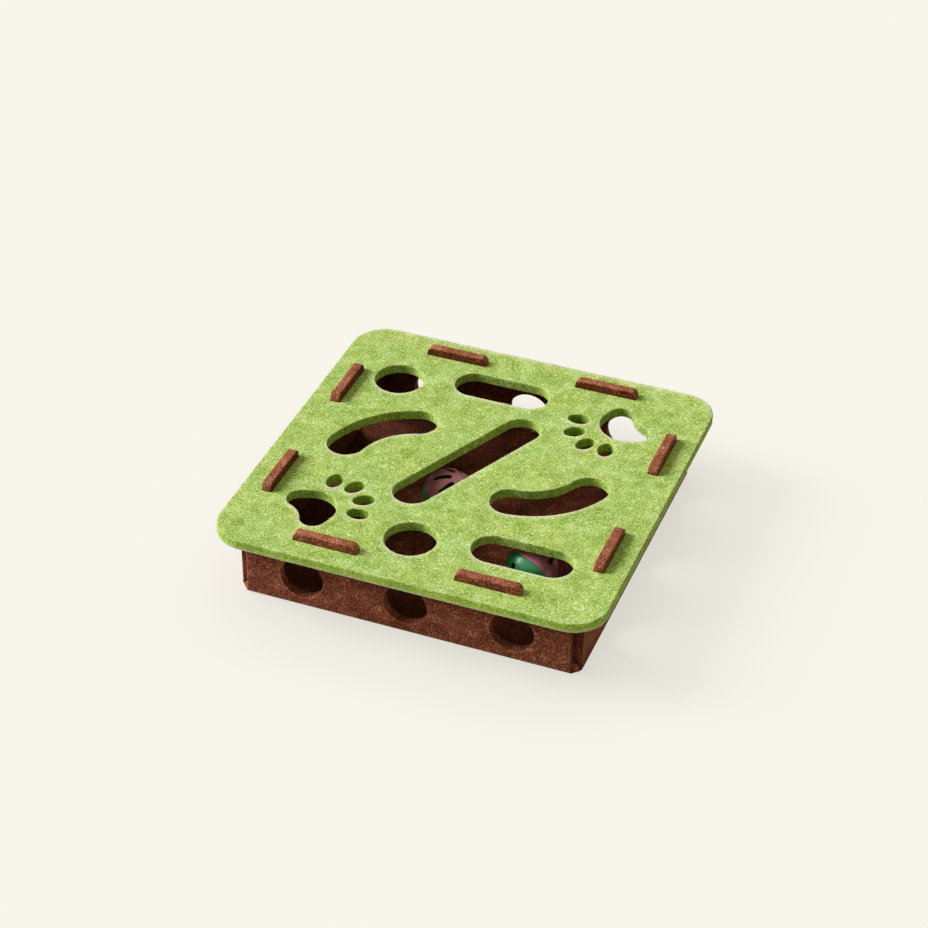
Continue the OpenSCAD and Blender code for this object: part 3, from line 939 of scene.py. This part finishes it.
inputs = {"Per square metre": "Float", "Seed": "Int", "Thickness": "Float", "Material": "Material"}
fibres, given = node_group("loose_fibres", inputs)
seed = given["Seed"]
fuzz = add_node(fibres, "GeometryNodeInputNamedAttribute", {"Name": "fuzz"}, data_type="FLOAT")
density = add_math(fibres, "MULTIPLY", fuzz, given["Per square metre"])
inputs = {"Mesh": given["Geometry"], "Density": density, "Seed": seed}
spots = add_node(fibres, "GeometryNodeDistributePointsOnFaces", inputs, distribute_method="RANDOM")
path = add_node(fibres, "GeometryNodeCurveQuadraticBezier", STRAND)
inputs = {"Resolution": STRAND_SIDES, "Radius": given["Thickness"]}
section = add_node(fibres, "GeometryNodeCurvePrimitiveCircle", inputs)
inputs = {"Curve": path, "Profile Curve": section, "Fill Caps": True}
strand = add_node(fibres, "GeometryNodeCurveToMesh", inputs)
inputs = {"Min": LEAST_TURN, "Max": MOST_TURN, "Seed": seed}
angles = add_node(fibres, "FunctionNodeRandomValue", inputs, data_type="FLOAT_VECTOR")
spin = add_node(fibres, "FunctionNodeEulerToRotation", {"Euler": angles})
inputs = {"Rotation": spots.node.outputs["Rotation"], "Rotate By": spin}
aim = add_node(fibres, "FunctionNodeRotateRotation", inputs, rotation_space="LOCAL")
size = random_number(fibres, seed, *STRAND_SIZES)
inputs = {"Points": spots, "Instance": strand, "Rotation": aim, "Scale": size}
copies = add_node(fibres, "GeometryNodeInstanceOnPoints", inputs)
inputs = {"Geometry": copies, "Name": "shade", "Value": random_number(fibres, seed, 0.0, 1.0)}
shaded = add_node(fibres, "GeometryNodeStoreNamedAttribute", inputs, data_type="FLOAT", domain="INSTANCE")
real = add_node(fibres, "GeometryNodeRealizeInstances", {"Geometry": shaded})
end_tree(fibres, real, given["Material"])
print("the fibre tree has", len(fibres.nodes), "nodes")

# %% [markdown]
# ## Growing the fibres
# Fibres that stand out catch the light, and each has a shade of its own. A hair system could grow them too,
# but it would not leave plain meshes. So the tree runs once on all boards of a body, and its result is kept
# as one piece that rides on that body.

# %% Fibres
FIBRE_SEED, FIBRE_R = 7, 0.055 * MM
LID_FIBRES, TRAY_FIBRES = 66000.0, 80000.0
STRAND_GRAIN, SHADE_SHARE, GRAIN_PART = {"Scale": 900.0, "Detail": 1.0}, 0.8, 0.2
STRAND_SHINE = {"Roughness": 0.7, "Specular IOR Level": 0.3, "Sheen Weight": 0.2}


def plain_mesh(carrier):
    """What an object looks like after its modifiers, as a plain mesh."""
    bpy.context.view_layer.update()
    return bpy.data.meshes.new_from_object(carrier.evaluated_get(bpy.context.evaluated_depsgraph_get()))


def run_tree(name, mesh, tree, values):
    """Runs a geometry tree on a mesh and returns the result as a plain mesh."""
    carrier = show(name + "_carrier", mesh)
    modifier = carrier.modifiers.new("nodes", "NODES")
    modifier.node_group = tree
    for socket in tree.interface.items_tree:
        if socket.name in values:
            modifier[socket.identifier] = values[socket.name]
    plain = plain_mesh(carrier)
    bpy.data.objects.remove(carrier)
    plain.name = name
    return plain


def join_meshes(name, *meshes):
    """Several meshes as one."""
    made = bmesh.new()
    for mesh in meshes:
        made.from_mesh(mesh)
    joined = bpy.data.meshes.new(name)
    made.to_mesh(joined)
    made.free()
    return joined


def strand_material(name, dark, light):
    """Single fibres, each in one shade between dark and light."""
    made, tree, shader = new_material(name)
    shade = add_math(tree, "MULTIPLY", add_mark(tree, "shade"), SHADE_SHARE)
    along = add_math(tree, "MULTIPLY", add_noise(tree, STRAND_GRAIN), GRAIN_PART)
    colour = add_mix(tree, "MIX", add_math(tree, "ADD", shade, along), dark, light)
    set_inputs(shader, {"Base Color": colour, **STRAND_SHINE})
    return made


def grow_fibres(name, boards, body, material, density):
    """All loose fibres of one body as one piece."""
    ground = join_meshes(name + "_ground", *(board.data for board in boards))
    values = {"Per square metre": density, "Seed": FIBRE_SEED, "Thickness": FIBRE_R, "Material": material}
    mesh = run_tree(name, ground, fibres, values)
    mesh.shade_smooth()
    piece = show(name, mesh)
    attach(piece, body)
    print(f"{name}: {sum(len(p.vertices) - 2 for p in mesh.polygons)} triangles")


leaf_strands = strand_material("leaf_green_strands", LEAF_SHADES[1], LEAF_SHADES[3])
earth_strands = strand_material("earth_brown_strands", EARTH_SHADES[1], EARTH_SHADES[3])
grow_fibres("lid_fibres", [lid], "lid", leaf_strands, LID_FIBRES)
grow_fibres("tray_fibres", walls, "tray", earth_strands, TRAY_FIBRES)

# %% [markdown]
# ## Sector of a ball
# Each ball is moulded in two halves, pink and green, with eight long slots round each pole that let the sound
# of the bell out. The halves lap at the equator. A boolean cut would leave ragged triangles on the sphere, so
# one eighth of a half is drawn as clean rings between its slot and its border, with the lap joint below.

# %% Ball sector
BALL_R, BALL_WALL = 20.0, 1.6
BALL_IN_R, LAP_R = BALL_R - BALL_WALL, BALL_R - BALL_WALL / 2
LAP_H, LAP_GAP, LAP_DRAFT, SEAM_R, SEAM_BEND = 2.0, 0.1, 0.1, 0.3, 0.09
PETAL_N, PETAL_L, PETAL_W, PETAL_TILT = 8, 15.0, 4.0, 45.0
PETAL_RIM_R, PETAL_BENDS = 0.4, (0.3, 0.65, 1.0)
SIDE_PARTS, END_PARTS, OUTER_PARTS, INNER_PARTS, CROWDING = 12, 8, 7, 4, 1.25
INNER_SKIN = 0.1


def slot_ring(grow, r):
    """A ring round the slot, grown by an amount, on the sphere of radius r. It starts at the lower left."""
    half, x = PETAL_W / 2 + grow, (PETAL_L - PETAL_W) / 2
    ring = []
    for side in (1, -1):
        ring += [(side * (x - 2 * x * k / SIDE_PARTS), -side * half) for k in range(SIDE_PARTS)]
        for k in range(END_PARTS):
            a = math.radians(180 + side * 90 - 180 * k / END_PARTS)
            ring.append((-side * x + half * math.cos(a), half * math.sin(a)))
    lean = turns((PETAL_TILT, "Y"))
    return [lean @ Vector((a, b, math.sqrt(r * r - a * a - b * b))) for a, b in ring]


def border_ring(low_z, r):
    """The border of the sector as angles round and from the pole, matched to the slot's ring."""
    edge, low = math.pi / PETAL_N, math.acos(low_z / r)
    chart = [(-edge, low * (1 - k / SIDE_PARTS)) for k in range(SIDE_PARTS)]
    chart += [(-edge + 2 * edge * k / END_PARTS, 0.0) for k in range(END_PARTS)]
    chart += [(edge, low * k / SIDE_PARTS) for k in range(SIDE_PARTS)]
    return chart + [(edge - 2 * edge * k / END_PARTS, low) for k in range(END_PARTS)]


def shell_rings(grow, low_z, r, parts):
    """Rings over the shell from the slot to the border of the sector."""
    start = [(math.atan2(p.y, p.x), math.acos(p.z / p.length)) for p in slot_ring(grow, r)]
    rings = []
    for part in range(parts + 1):
        ring, t = [], (part / parts) ** CROWDING
        for (a0, d0), (a1, d1) in zip(start, border_ring(low_z, r)):
            a, d = a0 + (a1 - a0) * t, d0 + (d1 - d0) * t
            out = r * math.sin(d)
            ring.append(Vector((out * math.cos(a), out * math.sin(a), r * math.cos(d))))
        rings.append(ring)
    return rings


def ball_sector(name, lap_r, lap_z):
    """One eighth of a half ball, with a lap joint that reaches to a radius and a height."""
    outer = shell_rings(PETAL_RIM_R, SEAM_R, BALL_R, OUTER_PARTS)
    inner = shell_rings(0.0, lap_z, BALL_IN_R, INNER_PARTS)
    bent = [slot_ring(PETAL_RIM_R, BALL_R), slot_ring(0.0, BALL_R), slot_ring(0.0, BALL_R - PETAL_RIM_R)]
    rounding = [[bend(*pulled, t) for pulled in zip(*bent)] for t in PETAL_BENDS]
    rings = outer[::-1] + rounding + inner
    count = len(rings[0])
    lower = [k % count for k in range(2 * SIDE_PARTS + END_PARTS, count + 1)]
    rows = [[outer[-1][k] for k in lower]]
    seam = ((BALL_R - SEAM_BEND, SEAM_BEND), (BALL_R - SEAM_R, 0.0), (lap_r, 0.0), (lap_r - LAP_DRAFT, lap_z))
    for radius, height in seam:
        rows.append([Vector((p.x, p.y, 0)).normalized() * radius + Vector((0, 0, height)) for p in rows[0]])
    rows.append([inner[-1][k] for k in lower])
    points = [p for row in rings + rows for p in row]
    faces = bands(len(rings), count) + bands(len(rows), len(lower), len(rings) * count, closed=False)
    mesh = new_mesh(name, points, faces)
    set_mark(mesh, "inner", [p.length < BALL_IN_R + INNER_SKIN for p in points])
    return mesh


pink_sector = ball_sector("pink_sector", LAP_R, LAP_H + LAP_GAP)
green_sector = ball_sector("green_sector", LAP_R - LAP_GAP, -LAP_H)
print("a sector has", len(pink_sector.polygons), "faces")

# %% [markdown]
# ## Plastic
# The balls are glossy plastic that has been handled. One smooth colour would look like paint on glass. So
# faint clouds from the flow in the mould vary the colour, and a fine orange peel varies both gloss and bump.
# The inside, which little light reaches, is toned darker by its mark.

# %% Plastic
FLOW, PEEL = {"Scale": 120.0, "Detail": 3.0, "Distortion": 1.5}, {"Scale": 1400.0, "Detail": 2.0}
INSIDE_TINT = (0.22, 0.22, 0.22, 1)
PLASTIC_SHINE = {"Coat Weight": 0.2, "Coat Roughness": 0.2, "Sheen Weight": 0.2, "Sheen Roughness": 0.3}


def plastic_material(name, deep, bright):
    """Moulded plastic with flow clouds, orange peel and a thin clear coat."""
    made, tree, shader = new_material(name)
    colour = add_mix(tree, "MIX", add_noise(tree, FLOW), deep, bright)
    colour = add_mix(tree, "MULTIPLY", add_mark(tree, "inner"), colour, INSIDE_TINT)
    set_inputs(shader, {"Base Color": colour, **PLASTIC_SHINE})
    peel = add_noise(tree, PEEL)
    roughen(shader, peel, low=0.30, high=0.46, height=peel, strength=0.12, distance=0.2 * MM)
    return made


pink_plastic = plastic_material("pink_plastic", (0.46, 0.125, 0.205, 1), (0.64, 0.215, 0.330, 1))
green_plastic = plastic_material("green_plastic", (0.012, 0.230, 0.070, 1), (0.035, 0.380, 0.135, 1))
print("plastics:", pink_plastic.name, "and", green_plastic.name)

# %% [markdown]
# ## Ball halves
# Geometry Nodes set eight sectors round the pole of a half and weld them into one shell. The green half is
# the pink one's partner, turned upside down and by half a slot. Each ball then leans as it has come to rest.

# %% Ball halves
BALL_GAP = 0.3
BALL_Z = TRAY_T + BALL_GAP + BALL_R
BALLS = {"ball_1": ((-18.5, -1.5), 32.0, 0.0, 21.0), "ball_2": ((71.5, -63.5), 61.0, 65.0, 12.0)}
WELD, SLIVER = 0.002 * MM, 1e-7

pole, given = node_group("round_the_pole", {"Count": "Int", "Weld": "Float", "Material": "Material"})
spots = add_node(pole, "GeometryNodePoints", {"Count": given["Count"]})
step = add_math(pole, "DIVIDE", 2 * math.pi, given["Count"])
angle = add_math(pole, "MULTIPLY", add_node(pole, "GeometryNodeInputIndex", {}), step)
euler = add_node(pole, "ShaderNodeCombineXYZ", {"Z": angle})
spin = add_node(pole, "FunctionNodeEulerToRotation", {"Euler": euler})
inputs = {"Points": spots, "Instance": given["Geometry"], "Rotation": spin}
copies = add_node(pole, "GeometryNodeInstanceOnPoints", inputs)
real = add_node(pole, "GeometryNodeRealizeInstances", {"Geometry": copies})
welded = add_node(pole, "GeometryNodeMergeByDistance", {"Geometry": real, "Distance": given["Weld"]})
end_tree(pole, welded, given["Material"])


def drop_slivers(made):
    """Drops faces without area."""
    bmesh.ops.dissolve_degenerate(made, dist=SLIVER, edges=made.edges)


def clean_mesh(mesh, place):
    """Drops faces without area, turns all faces outwards and moves the mesh to its place."""
    open_edges = mend(mesh, drop_slivers)
    mesh.transform(place)
    mesh.shade_smooth()
    return open_edges


flipped = turns((180 / PETAL_N, "Z"), (180, "X"))
for ball, (at, lean, turn, spin) in BALLS.items():
    place = Matrix.Translation(Vector((*at, BALL_Z)) * MM) @ turns((turn, "Z"), (lean, "Y"), (spin, "Z"))
    for colour, sector, finish, own in (
        ("pink", pink_sector, pink_plastic, turns()), ("green", green_sector, green_plastic, flipped),
    ):
        name = f"{ball}_{colour}_shell"
        shell_mesh = run_tree(name, sector, pole, {"Count": PETAL_N, "Weld": WELD, "Material": finish})
        gaps = clean_mesh(shell_mesh, place @ own)
        shell = show(name, shell_mesh)
        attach(shell, ball)
        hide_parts(f"{ball}_{colour}_half")
        print(f"{name}: {len(shell_mesh.polygons)} faces, open edges {gaps}")

# %% [markdown]
# ## Bell halves
# A small pressed bell lies loose in each ball: a cap with a wire loop, a bowl with two crossed sound slots,
# and a rim where they are crimped together. Both halves are turned profiles. Only the crossed slots are cut
# with a boolean, because the piece is small and the cut is straight.

# %% Bell halves
BELL_R, BELL_WALL, RIM_REACH, RIM_T, DOME_CLEAR = 7.0, 0.7, 0.9, 0.6, 2
LOOP_R, LOOP_WIRE_R, LOOP_SWEEP = 2.2, 0.6, 324
BELL_SEGMENTS, LOOP_SEGMENTS = 48, 32
SOUND_L, SOUND_W = 9.0, 1.5


def weld_doubles(made):
    """Welds points that lie on each other."""
    bmesh.ops.remove_doubles(made, verts=made.verts, dist=SLIVER)


def drop_wires(made):
    """Drops edges that bound no face."""
    bmesh.ops.delete(made, geom=[e for e in made.edges if not e.link_faces], context="EDGES")


def turned_mesh(name, profile, segments):
    """A closed profile of (radius, height) points turned about Z."""
    points, faces = [], []
    count = len(profile)
    for k in range(segments):
        a, n = 2 * math.pi * k / segments, (k + 1) % segments
        points += [(r * math.cos(a), r * math.sin(a), z) for r, z in profile]
        for j in range(count):
            i = (j + 1) % count
            faces.append((k * count + j, n * count + j, n * count + i, k * count + i))
    mesh = new_mesh(name, points, faces)
    mend(mesh, weld_doubles, drop_slivers, drop_wires)
    return mesh


def bell_profile():
    """Half a bell: dome, rolled rim and inner wall."""
    foot = math.degrees(math.asin(RIM_T / BELL_R)) + DOME_CLEAR
    dome = arc(0, 0, BELL_R, 90, foot)
    rim = arc(BELL_R + RIM_REACH - RIM_T / 2, RIM_T / 2, RIM_T / 2, 90, -90)
    hollow = arc(0, 0, BELL_R - BELL_WALL, 0, 90)
    return [(max(0.0, r), z) for r, z in dome + rim + hollow]


def wire_loop():
    """The wire loop on top of a bell, standing upright."""
    height = math.sqrt(BELL_R**2 - LOOP_WIRE_R**2) + LOOP_R - LOOP_WIRE_R / 2
    wire = [(LOOP_R + x, y) for x, y in arc(0, 0, LOOP_WIRE_R, 0, LOOP_SWEEP)]
    ring = turned_mesh("loop", wire, LOOP_SEGMENTS)
    ring.transform(Matrix.Translation((0, 0, height * MM)) @ turns((90, "X")))
    return ring


def cut_bowl(mesh):
    """The bowl with its crossed sound slots."""
    used = [show("bowl_blank", mesh)]
    for angle in (0, 90):
        points = placed(stadium(SOUND_L, SOUND_W), (0, 0), angle)
        count = len(points)
        solid = [(x, y, z) for z in (-2 * BELL_R, 0.0) for x, y in points]
        faces = [tuple(range(count))[::-1], tuple(range(count, 2 * count))] + bands(2, count)
        used.append(show("sound_cutter", new_mesh("sound_cutter", solid, faces)))
        cut = used[0].modifiers.new("cut", "BOOLEAN")
        cut.operation, cut.solver, cut.object = "DIFFERENCE", "EXACT", used[-1]
    plain = plain_mesh(used[0])
    for spare in used:
        bpy.data.objects.remove(spare)
    return plain


bell_half = turned_mesh("bell_half", bell_profile(), BELL_SEGMENTS)
cap_mesh = join_meshes("bell_cap", bell_half, wire_loop())
bowl_blank = bell_half.copy()
bowl_blank.transform(turns((180, "X")))
bowl_mesh = cut_bowl(bowl_blank)
print("bell cap", len(cap_mesh.polygons), "faces, bowl", len(bowl_mesh.polygons), "faces")

# %% [markdown]
# ## Bells
# The bells are pressed from plated sheet, rubbed dull in places by rolling about. A plain mirror would look
# new, so one noise varies the gloss and another stains the colour. The pellet inside is a plain bead: the CAD
# bead has the right shape already and only gets its steel.

# %% Bells
RUBBED = {"Scale": 700.0, "Detail": 4.0, "Distortion": 2.0}
STAIN, STAIN_SHADE = {"Scale": 160.0, "Detail": 2.0}, 0.72
BELL_GAP, SHARP_ANGLE = 0.3, 40
BELL_Z = BALL_Z - (BALL_IN_R - BELL_GAP - BELL_R)


def metal_material(name, colour, rough_low, rough_high):
    """Plated metal with fine rubbed streaks."""
    made, tree, shader = new_material(name)
    dull = tuple(STAIN_SHADE * c for c in colour[:3]) + (1,)
    stained = add_mix(tree, "MIX", add_noise(tree, STAIN), colour, dull)
    set_inputs(shader, {"Base Color": stained, "Metallic": 1.0})
    rubbed = add_noise(tree, RUBBED)
    roughen(shader, rubbed, rough_low, rough_high, rubbed, strength=0.1, distance=0.1 * MM)
    return made


bell_metal = metal_material("bell_plating", (0.80, 0.78, 0.73, 1), 0.14, 0.34)
pellet_steel = metal_material("pellet_steel", (0.56, 0.57, 0.58, 1), 0.22, 0.45)
for ball, (at, *_) in BALLS.items():
    bell = ball.replace("ball", "bell")
    for part, shape in (("cap", cap_mesh), ("bowl", bowl_mesh)):
        mesh = shape.copy()
        gaps = clean_mesh(mesh, Matrix.Translation(Vector((*at, BELL_Z)) * MM))
        mesh.set_sharp_from_angle(angle=math.radians(SHARP_ANGLE))
        mesh.materials.clear()
        mesh.materials.append(bell_metal)
        piece = show(f"{bell}_{part}_metal", mesh)
        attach(piece, bell)
        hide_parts(f"{ball}_bell_{part}")
        print(f"{piece.name}: {len(mesh.polygons)} faces, open edges {gaps}")
    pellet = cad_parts[f"{ball}_pellet"]
    pellet.data.materials.clear()
    pellet.data.materials.append(pellet_steel)
